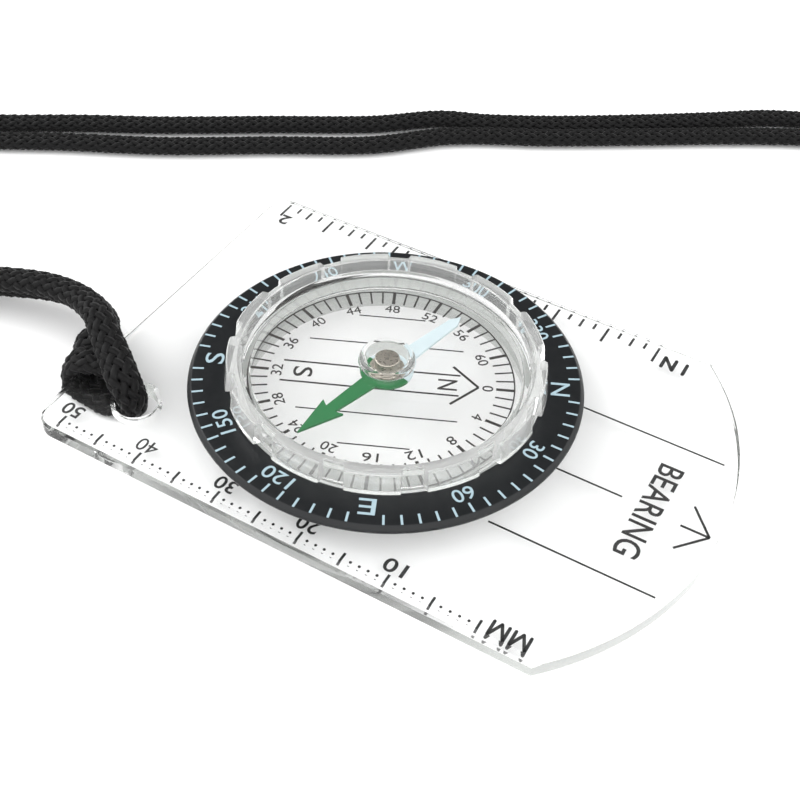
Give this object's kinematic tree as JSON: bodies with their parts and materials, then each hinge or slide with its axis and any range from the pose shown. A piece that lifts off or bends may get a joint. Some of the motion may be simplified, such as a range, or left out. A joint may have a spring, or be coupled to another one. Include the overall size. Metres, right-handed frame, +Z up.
{
  "type": "baseplate compass",
  "caption": "Pocket map compass: clear ruler plate with a turning graduated capsule, a balanced needle and a braided lanyard.",
  "frame": {"origin": "on the resting surface, under the middle of the ruler plate", "axes": "+X along the plate's length, towards its curved leading end (the direction of travel); +Y towards the inch edge; +Z up, out of the dial"},
  "size_m": [0.1616, 0.1317, 0.0084],
  "materials": {
    "clear_plate": "clear, polished",
    "clear_capsule": "clear, polished",
    "clear_grip": "clear, polished",
    "black_plastic": "satin black, with pale printed marks",
    "needle_paint": "green half, white half",
    "cap_metal": "plated, turned",
    "pin_steel": "polished",
    "jewel": "polished",
    "lanyard_braid": "woven black"
  },
  "bodies": {
    "plate": {"baseplate": "clear_plate", "lanyard_hitch": "lanyard_braid", "lanyard_strand_a": "lanyard_braid", "lanyard_strand_b": "lanyard_braid", "lanyard_coil": "lanyard_braid", "lanyard_end_knot": "lanyard_braid"},
    "capsule": {"azimuth_ring": "black_plastic", "grip_bezel": "clear_grip", "capsule_cover": "clear_capsule", "capsule_base": "clear_capsule", "pivot_pin": "pin_steel", "retaining_ring": "clear_grip"},
    "needle": {"needle": "needle_paint", "needle_cap": "cap_metal", "jewel_cup": "jewel"}
  },
  "joints": [
    {"name": "capsule_turn", "type": "hinge", "parent": "plate", "child": "capsule", "pos_m": [-0.0045, 0, 0], "axis": [0, 0, 1], "continuous": true},
    {"name": "needle_swing", "type": "hinge", "parent": "capsule", "child": "needle", "pos_m": [-0.0045, 0, 0], "axis": [0, 0, 1], "continuous": true}
  ]
}
